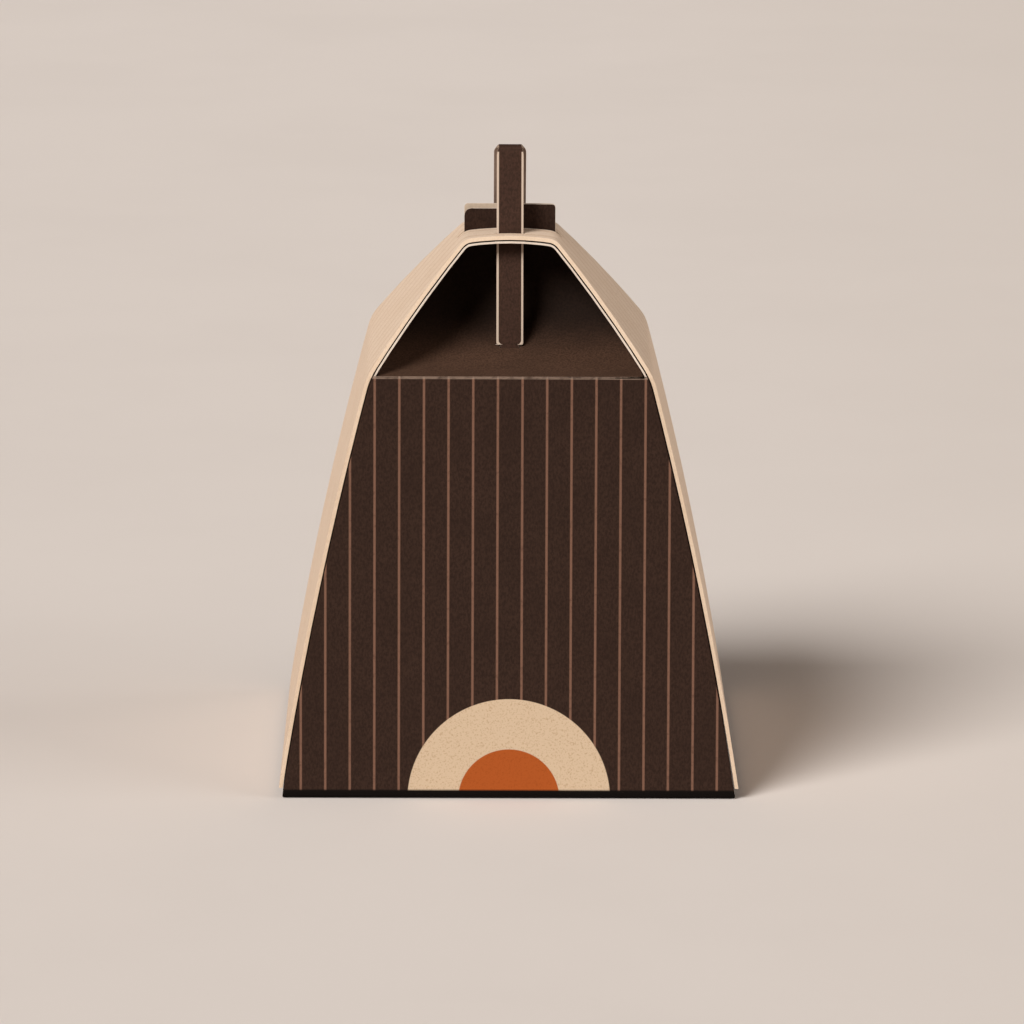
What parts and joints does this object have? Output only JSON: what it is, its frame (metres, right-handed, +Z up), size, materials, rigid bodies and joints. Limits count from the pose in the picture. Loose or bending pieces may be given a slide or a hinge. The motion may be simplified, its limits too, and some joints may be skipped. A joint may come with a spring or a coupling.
{
  "type": "snack box",
  "caption": "Tapered paperboard snack box with a kraft sleeve over sides and roof, recessed ends, locked tongues and a strap handle.",
  "frame": {"origin": "centre of the footprint, on the surface the box stands on", "axes": "+Z up, +Y to the back of the box, +X to the right seen from the front"},
  "size_m": [0.1498, 0.1322, 0.2041],
  "materials": {
    "dark_printed_board": "matt dark brown print with copper pinstripes on solid board, pale cut edges",
    "kraft_board": "uncoated light kraft with fine tone-on-tone lines, pale cut edges",
    "dark_strap_board": "matt dark brown print, cream cut edges"
  },
  "bodies": {
    "root": {"inner_carton": "dark_printed_board", "kraft_sleeve": "kraft_board", "strap_handle": "dark_strap_board"}
  },
  "joints": []
}
